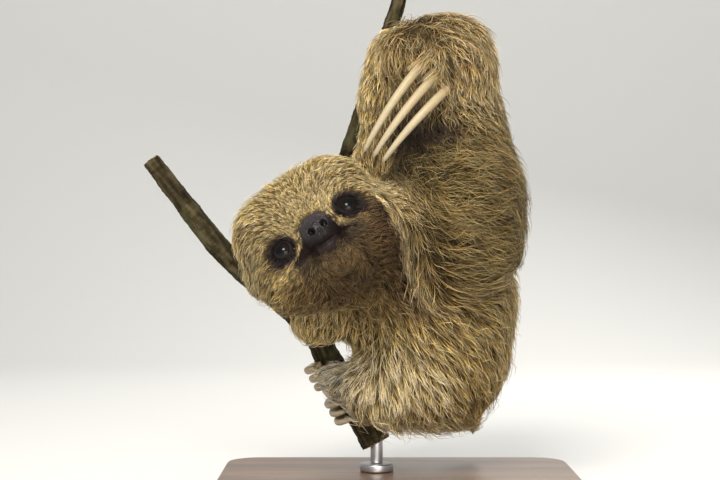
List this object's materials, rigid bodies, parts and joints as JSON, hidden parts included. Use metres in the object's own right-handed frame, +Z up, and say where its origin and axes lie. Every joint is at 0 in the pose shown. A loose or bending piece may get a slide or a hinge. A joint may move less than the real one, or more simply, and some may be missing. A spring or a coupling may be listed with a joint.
{
  "type": "three-toed sloth",
  "caption": "Life-size still model of a young three-toed sloth clinging with long claws to a forked branch, on a plain display stand; museum and scene use.",
  "frame": {"origin": "centre of the display base's underside, on the surface that it stands on", "axes": "+Z up; the animal's face looks towards -Y; its back is towards +X and the branch towards -X"},
  "size_m": [0.2797, 0.2001, 0.3354],
  "materials": {
    "coat": "coarse matted golden-tan fur with dark roots",
    "face_skin": "moist dark leathery nose and lips with short fur round them",
    "claw_horn": "satin cream horn with fine lengthwise lines",
    "eye": "wet high gloss",
    "bark": "rough brown bark with pale cut ends",
    "steel": "brushed satin",
    "walnut": "oiled walnut, satin"
  },
  "bodies": {
    "root": {"trunk": "coat", "tail": "coat", "neck": "coat", "head": "coat", "left_ear": "coat", "right_ear": "coat", "right_upper_arm": "coat", "right_forearm": "coat", "right_hand": "coat", "left_upper_arm": "coat", "left_forearm": "coat", "left_hand": "coat", "right_thigh": "coat", "right_shank": "coat", "right_foot": "coat", "left_thigh": "coat", "left_shank": "coat", "left_foot": "coat", "muzzle": "face_skin", "lower_jaw": "face_skin", "left_eye": "eye", "right_eye": "eye", "left_hand_claw_1": "claw_horn", "left_hand_claw_2": "claw_horn", "left_hand_claw_3": "claw_horn", "right_hand_claw_1": "claw_horn", "right_hand_claw_2": "claw_horn", "right_hand_claw_3": "claw_horn", "left_foot_claw_1": "claw_horn", "left_foot_claw_2": "claw_horn", "left_foot_claw_3": "claw_horn", "right_foot_claw_1": "claw_horn", "right_foot_claw_2": "claw_horn", "right_foot_claw_3": "claw_horn", "perch_branch": "bark", "stand_rod": "steel", "stand_collar": "steel", "stand_base": "walnut"}
  },
  "joints": []
}
